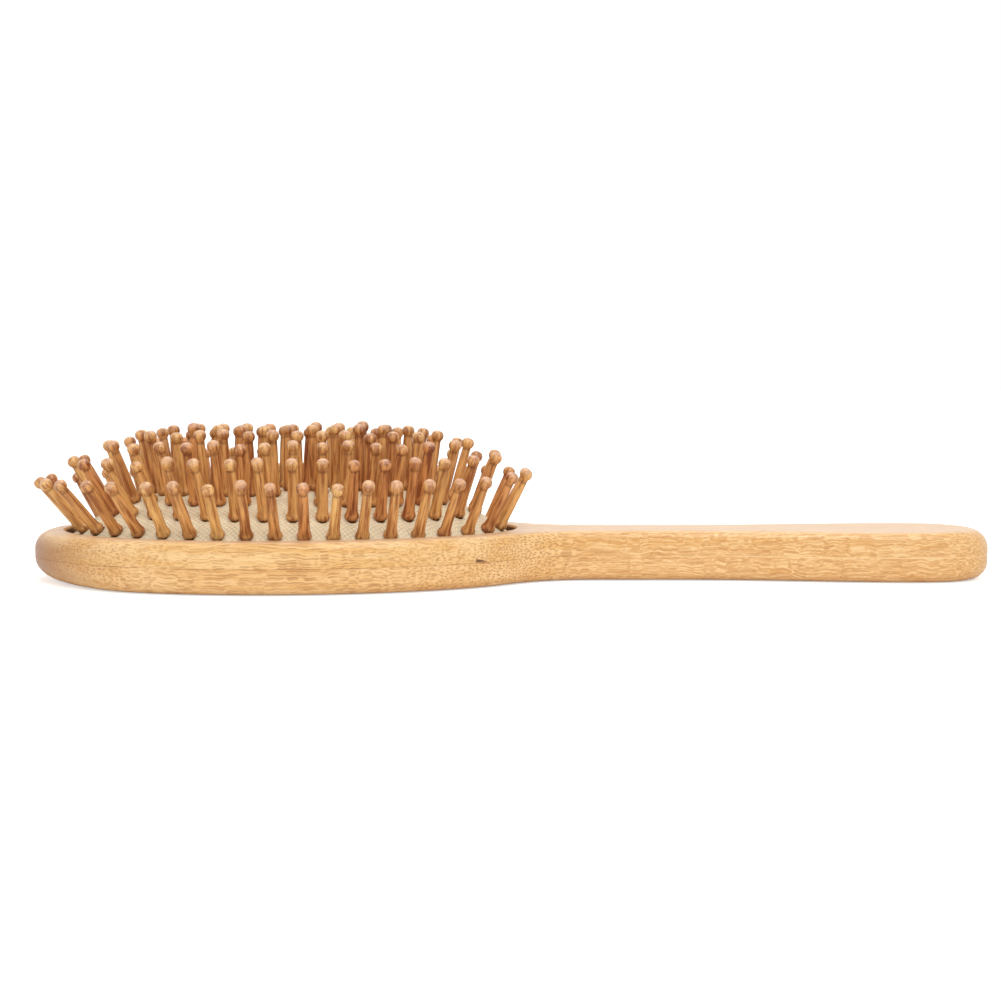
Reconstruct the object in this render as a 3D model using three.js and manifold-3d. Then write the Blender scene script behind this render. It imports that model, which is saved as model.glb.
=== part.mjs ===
// A bamboo paddle hairbrush: two glued boards, a domed air cushion and five rings of ball-ended pins.
// Millimetres. The origin is on the flat back, straight beneath the middle of the cushion.
// +X runs along the handle to its end, +Z is the side the pins stand on.
import * as THREE from "three";
import { mergeVertices } from "three/addons/utils/BufferGeometryUtils.js";
import Module from "manifold-3d";

// The paddle.
const THICKNESS = 12.8;
const GLUE_HEIGHT = 6.4;
const EDGE_RADIUS = 2.8;
const HEAD = { halfLength: 65.7, halfWidth: 37.5, taper: 0.06 };
const NECK_ANGLE = THREE.MathUtils.degToRad(30);
const NECK_X = 78;
const NECK_HALF_WIDTH = 9;
const GRIP_START_X = 98;
const GRIP_X = 156;
const GRIP_HALF_WIDTH = 14.2;
const HANDLE_END_X = 179.6;
// How far the outline's curves reach from their ends, and how much they swell or slim on the way.
const NECK_CURVE = { shoulderPull: 6.5, neckPull: 11, swell: 0.4 };
const GRIP_CURVE = { startPull: 22, gripPull: 20, slimming: 0.6 };
const END_CURVE = { sidePull: 14, swell: 0.4, cornerInset: 3 };

// The cushion. A level of 0 is its crown line and a level of 1 is its edge, seen from above.
const CUSHION = { halfLength: 57.2, halfWidth: 31.5, taper: 0.08 };
const CROWN_HALF_LENGTH = 23.9;
const CROWN_HEIGHT = 10.2;
const CROWN_DROP = 12.3;
const CROWN_POWER = 2.2;
const SHEET = 1.4;
const OPENING_LEVEL = 1.02;
const OPENING_CHAMFER = 0.8;
const BEAD_LEVEL = 1.055;
const GROOVE_LEVEL = 1.07;
const BEAD_TOP = -2.7;
const BEAD_BOTTOM = -4.2;
const BEAD_INNER_LEVEL = 0.95;
const CLEARANCE = 0.3;

// The pins. Heights run along a pin from the point where its foot meets the cushion.
const PIN = {
  neckRadius: 1.15, footRadius: 1.8, footTop: 3, shaftRadius: 1.25, shaftTop: 14,
  ballRadius: 1.65, ballHeight: 15.2, sides: 5,
};
const SEAT_GAP = 0.6;
const TIE = { width: 2.6, thickness: 1.3, overhang: 1.3 };
const TIE_DEPTH = SHEET + SEAT_GAP + TIE.thickness / 2;
const LEAN_SHARE = 0.93;
const LEAN_SKEW = 0.2;
const RING_PITCH = 6.2;
const FIRST_RING = { halfLength: 54, halfWidth: 28.6, taper: 0.04 };
// Pins go round each ring by way of the left side, in these groups. The first pin's place is in
// pitches from the handle end, so that the first group sits square across that end.
const RINGS = [
  { name: "outer", firstPin: -1.5, groups: [4, 5, 5, 5, 4, 5, 5, 5] },
  { name: "second", firstPin: -1.5, groups: [4, 6, 6, 4, 6, 6] },
  { name: "third", firstPin: -2, groups: [5, 5, 5, 5, 5, 5] },
  { name: "fourth", firstPin: -2, groups: [5, 8, 5, 8] },
  { name: "inner", firstPin: 0, groups: [10, 10] },
];

const OUTLINE_STEPS = 18;
const CURVE_STEPS = 4;
const LEVEL_SEARCH_STEPS = 40;
const SLOPE_STEP = 0.5;
const ROUND_STEPS = 36;
const EDGE_STEPS = 2;
const SMALL = 1e-4;

const wasm = await Module();
wasm.setup();

// A closed geometry becomes a solid once vertices that share a place are one vertex.
function toSolid(geometry) {
  const bare = geometry.clone();
  bare.deleteAttribute("normal");
  bare.deleteAttribute("uv");
  const merged = mergeVertices(bare, SMALL);
  const corners = merged.index.array;
  const kept = [];
  for (let i = 0; i < corners.length; i += 3) {
    const [a, b, c] = [corners[i], corners[i + 1], corners[i + 2]];
    if (a !== b && b !== c && c !== a) kept.push(a, b, c);
  }
  return new wasm.Manifold(new wasm.Mesh({
    numProp: 3,
    vertProperties: merged.attributes.position.array,
    triVerts: new Uint32Array(kept),
  }));
}

function toGeometry(solid) {
  const mesh = solid.getMesh();
  const geometry = new THREE.BufferGeometry();
  geometry.setAttribute("position", new THREE.BufferAttribute(mesh.vertProperties, 3));
  geometry.setIndex(new THREE.BufferAttribute(mesh.triVerts, 1));
  geometry.computeVertexNormals();
  return geometry;
}

// A point of an egg that narrows towards +X. Every outline round the cushion is one.
function eggPoint({ halfLength, halfWidth, taper }, angle) {
  const along = Math.cos(angle);
  return new THREE.Vector2(halfLength * along, halfWidth * Math.sin(angle) * (1 - taper * along));
}

// The egg that the cushion's surface follows at one level.
function levelEgg(level) {
  return {
    halfLength: THREE.MathUtils.lerp(CROWN_HALF_LENGTH, CUSHION.halfLength, level),
    halfWidth: CUSHION.halfWidth * level,
    taper: CUSHION.taper,
  };
}

// A closed body whose profile of (level, height) points sweeps round the cushion's eggs.
function sweepLevels(profile) {
  const points = profile.map(([level, height]) => new THREE.Vector2(level, height));
  const geometry = new THREE.LatheGeometry(points, ROUND_STEPS);
  const position = geometry.attributes.position;
  for (let i = 0; i < position.count; i += 1) {
    const { x: level, y: height } = points[i % points.length];
    const turn = Math.floor(i / points.length) % ROUND_STEPS;
    const spot = eggPoint(levelEgg(level), turn / ROUND_STEPS * 2 * Math.PI);
    position.setXYZ(i, spot.x, spot.y, height);
  }
  return toSolid(geometry);
}

function paddleOutline() {
  const side = [];
  for (let i = 0; i <= OUTLINE_STEPS; i += 1) {
    const angle = THREE.MathUtils.lerp(Math.PI, NECK_ANGLE, i / OUTLINE_STEPS);
    side.push(eggPoint(HEAD, angle));
  }
  const shoulder = side.at(-1);
  const heading = shoulder.clone().sub(side.at(-2)).normalize();
  const neck = new THREE.Vector2(NECK_X, NECK_HALF_WIDTH);
  const gripStart = new THREE.Vector2(GRIP_START_X, NECK_HALF_WIDTH);
  const grip = new THREE.Vector2(GRIP_X, GRIP_HALF_WIDTH);
  const end = new THREE.Vector2(HANDLE_END_X, 0);
  const from = (point, x, y) => new THREE.Vector2(point.x + x, point.y + y);
  const neckCurve = new THREE.CubicBezierCurve(
    shoulder, shoulder.clone().addScaledVector(heading, NECK_CURVE.shoulderPull),
    from(neck, -NECK_CURVE.neckPull, NECK_CURVE.swell), neck,
  );
  const gripCurve = new THREE.CubicBezierCurve(
    gripStart, from(gripStart, GRIP_CURVE.startPull, 0),
    from(grip, -GRIP_CURVE.gripPull, -GRIP_CURVE.slimming), grip,
  );
  const endCurve = new THREE.CubicBezierCurve(
    grip, from(grip, END_CURVE.sidePull, END_CURVE.swell),
    from(end, 0, GRIP_HALF_WIDTH - END_CURVE.cornerInset), end,
  );
  side.push(...neckCurve.getPoints(CURVE_STEPS).slice(1));
  side.push(...gripCurve.getPoints(CURVE_STEPS));
  side.push(...endCurve.getPoints(2 * CURVE_STEPS).slice(1));
  const mirrored = side.slice(1, -1).reverse().map((point) => new THREE.Vector2(point.x, -point.y));
  return new THREE.Shape([...side, ...mirrored]);
}

function paddleBlank() {
  const geometry = new THREE.ExtrudeGeometry(paddleOutline(), {
    depth: THICKNESS - 2 * EDGE_RADIUS,
    bevelThickness: EDGE_RADIUS,
    bevelSize: EDGE_RADIUS,
    bevelOffset: -EDGE_RADIUS,
    bevelSegments: EDGE_STEPS,
  });
  geometry.translate(0, 0, EDGE_RADIUS);
  return toSolid(geometry);
}

// A block that covers the whole paddle between two heights.
function slab(bottom, top) {
  const reach = 2 * HANDLE_END_X + 2 * THICKNESS;
  const geometry = new THREE.BoxGeometry(reach, reach, top - bottom);
  geometry.translate(0, 0, (bottom + top) / 2);
  return toSolid(geometry);
}

// The hole in the front board, with an eased rim and a groove that holds the cushion's bead.
function openingCutter() {
  const step = OPENING_CHAMFER / CUSHION.halfWidth;
  const aboveRim = 1;
  const profile = [
    [0, GLUE_HEIGHT - THICKNESS - aboveRim],
    [OPENING_LEVEL, GLUE_HEIGHT - THICKNESS - aboveRim],
    [OPENING_LEVEL, BEAD_BOTTOM - CLEARANCE],
    [GROOVE_LEVEL, BEAD_BOTTOM - CLEARANCE],
    [GROOVE_LEVEL, BEAD_TOP + CLEARANCE],
    [OPENING_LEVEL, BEAD_TOP + CLEARANCE],
    [OPENING_LEVEL, -OPENING_CHAMFER],
    [OPENING_LEVEL + step, 0],
    [OPENING_LEVEL + step, aboveRim],
    [0, aboveRim],
  ];
  return sweepLevels(profile).translate([0, 0, THICKNESS]);
}

function domeHeight(level) {
  return CROWN_HEIGHT - CROWN_DROP * level ** CROWN_POWER;
}

// The level of the cushion that passes through a place seen from above.
function levelAt(x, y) {
  let low = 0;
  let high = OPENING_LEVEL;
  for (let i = 0; i < LEVEL_SEARCH_STEPS; i += 1) {
    const level = (low + high) / 2;
    const egg = levelEgg(level);
    const along = x / egg.halfLength;
    const reach = egg.halfWidth * Math.sqrt(Math.max(0, 1 - along * along)) * (1 - egg.taper * along);
    if (Math.abs(along) < 1 && Math.abs(y) < reach) high = level;
    else low = level;
  }
  return (low + high) / 2;
}

function surfaceHeight(x, y) {
  return domeHeight(levelAt(x, y));
}

// The sheet's outer face and, a sheet's thickness inside it, its inner face.
function cushionProfile() {
  const span = (CUSHION.halfLength - CROWN_HALF_LENGTH + CUSHION.halfWidth) / 2;
  const outerLevels = [0, 0.2, 0.4, 0.6, 0.8, 1];
  const innerLevels = [BEAD_INNER_LEVEL, 0.8, 0.6, 0.4, 0.2];
  const outer = outerLevels.map((level) => [level, domeHeight(level)]);
  const inner = innerLevels.map((level) => {
    const slope = Math.atan(CROWN_DROP * CROWN_POWER * level ** (CROWN_POWER - 1) / span);
    return [level - SHEET * Math.sin(slope) / span, domeHeight(level) - SHEET * Math.cos(slope)];
  });
  const bead = [
    [1, BEAD_TOP],
    [BEAD_LEVEL, BEAD_TOP],
    [BEAD_LEVEL, BEAD_BOTTOM],
    [BEAD_INNER_LEVEL, BEAD_BOTTOM],
  ];
  return [...outer, ...bead, ...inner, [0, CROWN_HEIGHT - SHEET]].reverse();
}

// One ring of pins seen from above, for places at equal steps along it.
class RingCurve extends THREE.Curve {
  constructor(index) {
    super();
    this.egg = {
      halfLength: FIRST_RING.halfLength - index * RING_PITCH,
      halfWidth: FIRST_RING.halfWidth - index * RING_PITCH,
      taper: FIRST_RING.taper,
    };
  }

  getPoint(t) {
    const spot = eggPoint(this.egg, 2 * Math.PI * t);
    return new THREE.Vector3(spot.x, spot.y, 0);
  }
}

// A pin's place: its foot on the cushion and its direction, nearly square to the cushion, but
// leaning further at the tip and less at the handle end.
function pinPlace(spot) {
  const { x, y } = spot;
  const across = 2 * SLOPE_STEP;
  const slopeX = (surfaceHeight(x + SLOPE_STEP, y) - surfaceHeight(x - SLOPE_STEP, y)) / across;
  const slopeY = (surfaceHeight(x, y + SLOPE_STEP) - surfaceHeight(x, y - SLOPE_STEP)) / across;
  const outward = new THREE.Vector3(-slopeX, -slopeY, 0).normalize();
  const skew = 1 - LEAN_SKEW * x / CUSHION.halfLength;
  const lean = Math.atan(Math.hypot(slopeX, slopeY)) * LEAN_SHARE * skew;
  const direction = new THREE.Vector3(0, 0, Math.cos(lean)).addScaledVector(outward, Math.sin(lean));
  return { foot: new THREE.Vector3(x, y, surfaceHeight(x, y)), direction };
}

function ringPlaces(ring, index) {
  const curve = new RingCurve(index);
  const count = ring.groups.reduce((sum, size) => sum + size, 0);
  return Array.from({ length: count }, (_, i) => {
    const along = ((i + ring.firstPin) / count + 1) % 1;
    return pinPlace(curve.getPointAt(along));
  });
}

// Turns a solid that stands on the origin so that it points along a direction from a place.
function stand(geometry, place, direction) {
  const turn = new THREE.Quaternion().setFromUnitVectors(new THREE.Vector3(0, 0, 1), direction);
  geometry.applyQuaternion(turn);
  geometry.translate(place.x, place.y, place.z);
  return toSolid(geometry);
}

function pinSolid({ foot, direction }) {
  const ballTop = PIN.ballHeight + PIN.ballRadius;
  const profile = [
    [0, -TIE_DEPTH], [PIN.neckRadius, -TIE_DEPTH], [PIN.neckRadius, SEAT_GAP],
    [PIN.footRadius, SEAT_GAP], [PIN.shaftRadius, PIN.footTop], [PIN.shaftRadius, PIN.shaftTop],
    [PIN.ballRadius, PIN.ballHeight], [0, ballTop],
  ].map(([radius, height]) => new THREE.Vector2(radius, height));
  const geometry = new THREE.LatheGeometry(profile, PIN.sides).rotateX(Math.PI / 2);
  return stand(geometry, foot, direction);
}

function pinHole({ foot, direction }) {
  const radius = PIN.neckRadius + CLEARANCE;
  const length = SHEET + 2 * TIE_DEPTH;
  const geometry = new THREE.CylinderGeometry(radius, radius, length, PIN.sides).rotateX(Math.PI / 2);
  geometry.translate(0, 0, -SHEET / 2);
  return stand(geometry, foot, direction);
}

// The strip under the sheet that ties the roots of a group's pins, square to their mean lean.
function tieSolid(places) {
  const roots = places.map(({ foot, direction }) => foot.clone().addScaledVector(direction, -TIE_DEPTH));
  const beyond = (end, neighbour) => {
    const heading = end.clone().sub(neighbour).normalize();
    return end.clone().addScaledVector(heading, TIE.overhang);
  };
  const first = beyond(roots[0], roots[1]);
  const last = beyond(roots.at(-1), roots.at(-2));
  const path = new THREE.CatmullRomCurve3([first, ...roots, last]);
  const leans = places.map(({ direction }) => Math.acos(direction.z));
  const lean = leans.reduce((sum, angle) => sum + angle, 0) / leans.length;
  const [deep, wide] = [TIE.thickness / 2, TIE.width / 2];
  const corners = [[-deep, -wide], [deep, -wide], [deep, wide], [-deep, wide]];
  const section = new THREE.Shape(corners.map(([x, y]) => (
    new THREE.Vector2(x, y).rotateAround(new THREE.Vector2(), lean)
  )));
  return toSolid(new THREE.ExtrudeGeometry(section, { steps: places.length, extrudePath: path }));
}

function pinGroupSolid(places) {
  return places.map(pinSolid).reduce((all, next) => all.add(next), tieSolid(places));
}

// Names for the groups round one ring: handle_end, left_1 ..., tip, ... right_1. A ring of two
// groups starts its left one with the pin at the handle end and its right one with the pin at the tip.
function groupNames(ring) {
  if (ring.groups.length === 2) return ["left", "right"];
  const perSide = ring.groups.length / 2 - 1;
  const sideNumbers = Array.from({ length: perSide }, (_, i) => i + 1);
  const left = sideNumbers.map((number) => `left_${number}`);
  const right = sideNumbers.map((number) => `right_${number}`).reverse();
  return ["handle_end", ...left, "tip", ...right];
}

const BAMBOO_FACE = new THREE.MeshStandardMaterial({ color: 0xe6bf88, roughness: 0.5, metalness: 0 });
const BAMBOO_BACK = new THREE.MeshStandardMaterial({ color: 0xddb073, roughness: 0.5, metalness: 0 });
const CREAM_RUBBER = new THREE.MeshStandardMaterial({ color: 0xddd6c4, roughness: 0.85, metalness: 0 });
const PIN_BAMBOO = new THREE.MeshStandardMaterial({ color: 0xb8793f, roughness: 0.45, metalness: 0 });

function named(name, solid, material) {
  const mesh = new THREE.Mesh(toGeometry(solid), material);
  mesh.name = name;
  return mesh;
}

function paddle() {
  const blank = paddleBlank();
  const group = new THREE.Group();
  const front = blank.intersect(slab(GLUE_HEIGHT, 2 * THICKNESS)).subtract(openingCutter());
  group.add(named("front_board", front, BAMBOO_FACE));
  group.add(named("back_board", blank.intersect(slab(-THICKNESS, GLUE_HEIGHT)), BAMBOO_BACK));
  return group;
}

// The cushion and its pins, measured from the front face of the paddle.
function cushion() {
  const group = new THREE.Group();
  group.position.z = THICKNESS;
  let sheet = sweepLevels(cushionProfile());
  RINGS.forEach((ring, index) => {
    const places = ringPlaces(ring, index);
    const names = groupNames(ring);
    let next = 0;
    ring.groups.forEach((size, i) => {
      const members = places.slice(next, next + size);
      next += size;
      group.add(named(`pins_${ring.name}_${names[i]}`, pinGroupSolid(members), PIN_BAMBOO));
    });
    places.forEach((place) => {
      sheet = sheet.subtract(pinHole(place));
    });
  });
  group.add(named("cushion_pad", sheet, CREAM_RUBBER));
  return group;
}

const brush = new THREE.Group();
brush.add(paddle(), cushion());

export default brush;
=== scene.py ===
"""A bamboo paddle hairbrush on a pale floor: fine meshes and procedural materials round the frame.

Shapes are worked out in millimetres, in the row frame, and become metres when a mesh is made.
"""
import math

import bpy
import numpy as np
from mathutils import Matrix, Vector
from mathutils.geometry import delaunay_2d_cdt


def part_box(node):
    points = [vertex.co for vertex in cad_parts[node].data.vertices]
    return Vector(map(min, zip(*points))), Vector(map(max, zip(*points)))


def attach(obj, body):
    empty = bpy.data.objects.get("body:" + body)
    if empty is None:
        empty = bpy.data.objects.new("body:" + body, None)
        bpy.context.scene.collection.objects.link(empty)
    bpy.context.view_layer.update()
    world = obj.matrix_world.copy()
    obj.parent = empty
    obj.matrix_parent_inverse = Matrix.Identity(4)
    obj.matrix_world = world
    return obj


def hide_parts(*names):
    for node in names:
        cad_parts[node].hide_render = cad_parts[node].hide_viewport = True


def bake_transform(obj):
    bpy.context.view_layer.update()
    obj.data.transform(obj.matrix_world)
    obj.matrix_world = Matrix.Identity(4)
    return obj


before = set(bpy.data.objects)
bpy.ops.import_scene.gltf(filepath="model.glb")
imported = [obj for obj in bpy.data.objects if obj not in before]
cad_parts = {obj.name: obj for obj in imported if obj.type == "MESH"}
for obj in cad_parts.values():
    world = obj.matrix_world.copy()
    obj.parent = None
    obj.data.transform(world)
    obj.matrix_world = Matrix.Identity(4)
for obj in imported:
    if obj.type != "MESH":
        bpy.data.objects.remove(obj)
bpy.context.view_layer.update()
MM = 0.001
FULL_TURN = 2 * math.pi

# Sizes of the paddle, from the frame.
front_low, front_high = (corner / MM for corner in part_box("front_board"))
_, back_high = (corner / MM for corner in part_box("back_board"))
THICKNESS = front_high.z
GLUE_HEIGHT = back_high.z
HEAD_HALF_LENGTH = -front_low.x
HEAD_HALF_WIDTH = front_high.y
HANDLE_END_X = front_high.x

# The rest of the paddle's outline.
HEAD_TAPER = 0.06
NECK_ANGLE = math.radians(30)
NECK_X = 78
NECK_HALF_WIDTH = 9
GRIP_START_X = 98
GRIP_X = 156
GRIP_HALF_WIDTH = 14.2
HEAD_POINTS = 96

# The curves between them. A pull is how far a curve's handle reaches, a spread how far it is aside.
SHOULDER_PULL = 6.5
NECK_PULL = 11
NECK_SPREAD = 0.4
WAIST_PULL = 6
GRIP_START_PULL = 22
GRIP_PULL = 20
GRIP_SPREAD = 0.6
END_PULL = 14
END_SPREAD = 0.4
END_NARROWING = 3

# Edges that bend more than this stay creased.
SHARP_ANGLE = math.radians(42)

# How far an edge's rounding runs (inwards, downwards): along the sides, and how much more at the
# tip and at the handle's end.
TOP_ROUNDING = ((2.2, 2.0), (3.0, 2.6), (2.6, 3.0))
BOTTOM_ROUNDING = ((3.0, 2.6), (5.4, 3.3), (1.6, 1.8))
TIP_START_X = -36
END_START_X = HANDLE_END_X - 14
ROUNDING_ROWS = 9
FLAT_MARGIN = 0.4

# The glue line is a fine groove. The side's loops stand at these shares of its height.
SEAM_DEPTH = 0.07
SIDE_SHARES = (0.02, 0.05, 0.1, 0.17, 0.26, 0.4, 0.6, 0.8)

# The splinter missing at the glue line, on the right of the neck.
CHIP_X = 49.6
CHIP_LENGTH = 3.2
CHIP_HEIGHT = 1.0
CHIP_RISE = 0.3
CHIP_DEPTH = 0.75
CHIP_BLUNTNESS = 0.6

# The cushion: level 0 is its crown line and level 1 its edge, seen from above. Its heights, and
# those of the opening's groove and the bead in it, are measured from the rim.
CUSHION_TAPER = 0.08
CUSHION_HALF_LENGTH = 57.2
CUSHION_HALF_WIDTH = 31.5
CROWN_HALF_LENGTH = 23.9
CROWN_HEIGHT = 10.2
CROWN_DROP = 12.3
CROWN_POWER = 2.2
SHEET = 1.4
OPENING_LEVEL = 1.02
OPENING_EASE = 0.6
GROOVE_LEVEL = 1.07
GROOVE_TOP = -2.4
GROOVE_BOTTOM = -4.5
OPENING_POINTS = 192
BEAD_INNER_LEVEL = 0.95
BEAD_LEVEL = 1.055
BEAD_TOP = -2.7
BEAD_BOTTOM = -4.2
SHEET_EDGE_LEVEL = 1.006
SHEET_EDGE_HEIGHT = -2.3

# The cushion's mesh and the cloth simulation that swells it between the pins.
BORDER_POINTS = 256
CELL = 0.85
HOLE_RADIUS = 1.28
HOLE_SIDES = 12
HELD_RADIUS = 2.1
FREE_RADIUS = 3.4
MOST_PUFF = 0.32
DIMPLE = 0.22
CLOTH_PRESSURE = 4
CLOTH_FRAMES = 20

# The pins. Each ring has its name, the place of its first pin in pitches from the handle end, and
# the sizes of its groups.
RING_PITCH = 6.2
FIRST_RING_HALF_LENGTH = 54
FIRST_RING_HALF_WIDTH = 28.6
RING_TAPER = 0.04
LEAN_SHARE = 0.93
LEAN_SKEW = 0.2
BALL_HEIGHT = 15.25
BALL_RADIUS = 1.62
BALL_FLATNESS = 0.14
RINGS = (
    ("outer", -1.5, (4, 5, 5, 5, 4, 5, 5, 5)),
    ("second", -1.5, (4, 6, 6, 4, 6, 6)),
    ("third", -2, (5, 5, 5, 5, 5, 5)),
    ("fourth", -2, (5, 8, 5, 8)),
    ("inner", 0, (10, 10)),
)

# One pin's outline from its root under the sheet to its neck, as radius and height above the sheet.
PIN_PROFILE = (
    (0, -2.65), (1.1, -2.65), (1.3, -2.5), (1.3, -2.2), (1.0, -2.0), (1.02, -0.45), (1.3, -0.2),
    (1.8, 0.45), (1.85, 0.8), (1.74, 1.15), (1.48, 1.7), (1.36, 2.4), (1.31, 3.6), (1.28, 6.5),
    (1.23, 9.5), (1.15, 12.2), (1.08, 13.4),
)
PIN_SIDES = 14
BALL_ROWS = 9
BALL_START = math.radians(-48)
BALL_END = math.radians(84)
SHAFT_HEIGHTS = (1.5, 13.8)

# How much single pins differ: spread of lean and swerve in degrees, of length and girth as shares.
LEAN_SPREAD = 1.7
MOST_LEAN_ERROR = 1.3
SWERVE_SPREAD = 3.5
LENGTH_SPREAD = 0.018
GIRTH_SPREAD = 0.045
PIN_SEED = 11

# Every pin is cut from its own place in the grain, at most this far from the middle. A pin that
# leans less than the second value, in radians, counts as upright.
WOOD_REACH = 400
UPRIGHT_LEAN = 0.02

# Materials: where along the handle the grain changes, and the sizes of fibre and weave.
NECK_START = (40, 54)
GRIP_START = (62, 84)
PALE_LINE_START = (98, 118)
CHIP_TAIL = 18
FIBRE_PITCH = 0.68
FIBRE_WAVE = 1.7
GRIP_WAVINESS = 0.3
NECK_HEIGHT = 13.7
WEAVE_PITCH = 0.95

# The room, in metres and watts.
FLOOR_SIZE = 6
FLOOR_DROP = 0.0002
FLOOR_GLOW = 0.55
AMBIENT = 0.5
BACKDROP = 1.0
LAMP_AIM = (0.05, 0, 0.01)
LAMPS = (
    ("key", (0.32, -0.8, 0.85), 0.7, 5.9),
    ("fill", (-0.7, -0.6, 0.45), 0.8, 1.0),
    ("top", (0.05, 0.35, 1.1), 0.8, 4.2),
)
CAMERA_PLACE = (0.054, -0.420, 0.0543)
CAMERA_PITCH = math.radians(4.7)
LENS = 58.6
SENSOR_WIDTH = 36


# ---- Shapes in the plane ----

def egg(half_length, half_width, taper, angle):
    """Points of an egg that narrows towards +X."""
    along = np.cos(angle)
    across = half_width * np.sin(angle) * (1 - taper * along)
    return np.stack([half_length * along, across], axis=-1)


def level_axes(level):
    half_length = CROWN_HALF_LENGTH + (CUSHION_HALF_LENGTH - CROWN_HALF_LENGTH) * level
    return half_length, CUSHION_HALF_WIDTH * level


def level_loop(level, count):
    """The egg that the cushion follows at one level, counterclockwise."""
    angle = np.arange(count) / count * FULL_TURN
    return egg(*level_axes(level), CUSHION_TAPER, angle)


def level_at(xy):
    """The level of the cushion that passes through each place, by halving."""
    low = np.zeros(len(xy))
    high = np.full(len(xy), 1.2)
    for _ in range(40):
        level = (low + high) / 2
        half_length, half_width = level_axes(level)
        along = xy[:, 0] / half_length
        reach = half_width * np.sqrt(np.clip(1 - along**2, 0, None)) * (1 - CUSHION_TAPER * along)
        inside = (np.abs(along) < 1) & (np.abs(xy[:, 1]) < reach)
        high = np.where(inside, level, high)
        low = np.where(inside, low, level)
    return (low + high) / 2


def dome_height(level):
    return CROWN_HEIGHT - CROWN_DROP * level**CROWN_POWER


def dome_slope(xy):
    """How fast the dome rises along X and along Y."""
    step = 0.4
    slopes = []
    for axis in (0, 1):
        shift = np.zeros(2)
        shift[axis] = step
        rise = dome_height(level_at(xy + shift)) - dome_height(level_at(xy - shift))
        slopes.append(rise / (2 * step))
    return np.stack(slopes, axis=-1)


def bezier(points, count):
    """A cubic curve through its end points, without the first one."""
    t = (np.arange(count) + 1)[:, None] / count
    a, b, c, d = (np.array(point, float) for point in points)
    return a * (1 - t) ** 3 + 3 * b * t * (1 - t) ** 2 + 3 * c * t**2 * (1 - t) + d * t**3


def paddle_outline():
    """The paddle seen from above, counterclockwise."""
    head_angle = np.linspace(math.pi, NECK_ANGLE, HEAD_POINTS)
    head = egg(HEAD_HALF_LENGTH, HEAD_HALF_WIDTH, HEAD_TAPER, head_angle)
    shoulder = head[-1]
    heading = (shoulder - head[-2]) / np.linalg.norm(shoulder - head[-2])
    neck = (NECK_X, NECK_HALF_WIDTH)
    before_neck = (NECK_X - NECK_PULL, NECK_HALF_WIDTH + NECK_SPREAD)
    fillet = bezier((shoulder, shoulder + SHOULDER_PULL * heading, before_neck, neck), 24)
    after_neck = (NECK_X + WAIST_PULL, NECK_HALF_WIDTH)
    before_grip = (GRIP_START_X - WAIST_PULL, NECK_HALF_WIDTH)
    waist = bezier((neck, after_neck, before_grip, (GRIP_START_X, NECK_HALF_WIDTH)), 10)
    leaving = (GRIP_START_X + GRIP_START_PULL, NECK_HALF_WIDTH)
    arriving = (GRIP_X - GRIP_PULL, GRIP_HALF_WIDTH - GRIP_SPREAD)
    grip = bezier((waist[-1], leaving, arriving, (GRIP_X, GRIP_HALF_WIDTH)), 30)
    rounding = (GRIP_X + END_PULL, GRIP_HALF_WIDTH + END_SPREAD)
    corner = (HANDLE_END_X, GRIP_HALF_WIDTH - END_NARROWING)
    end = bezier((grip[-1], rounding, corner, (HANDLE_END_X, 0)), 36)
    side = np.concatenate([head, fillet, waist, grip, end])
    mirrored = side[1:-1] * (1, -1)
    return np.concatenate([mirrored, side[::-1]])


def fine_outline():
    """The outline with extra points where the chip is."""
    loop = paddle_outline()
    near_chip = (loop[:, 1] < 0) & (np.abs(loop[:, 0] - CHIP_X) < CHIP_LENGTH + 1)
    points = []
    for i, point in enumerate(loop):
        points.append(point)
        if near_chip[i]:
            following = loop[(i + 1) % len(loop)]
            points.extend(point + (following - point) * share for share in (0.2, 0.4, 0.6, 0.8))
    return np.array(points)


def outward_normals(loop):
    tangent = np.roll(loop, -1, axis=0) - np.roll(loop, 1, axis=0)
    tangent /= np.linalg.norm(tangent, axis=1)[:, None]
    return np.stack([tangent[:, 1], -tangent[:, 0]], axis=-1)


# ---- Meshes ----

def smooth_step(low, high, value):
    t = np.clip((value - low) / (high - low), 0, 1)
    return t * t * (3 - 2 * t)


def at_height(loop, height):
    """A flat loop lifted to a height, which is one number or one for each point."""
    return np.column_stack([loop, np.broadcast_to(height, len(loop))])


def bridge(start_a, start_b, count):
    """Faces between two loops of as many points, the second one above the first."""
    faces = []
    for i in range(count):
        j = (i + 1) % count
        faces.append((start_a + i, start_a + j, start_b + j, start_b + i))
    return faces


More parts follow.
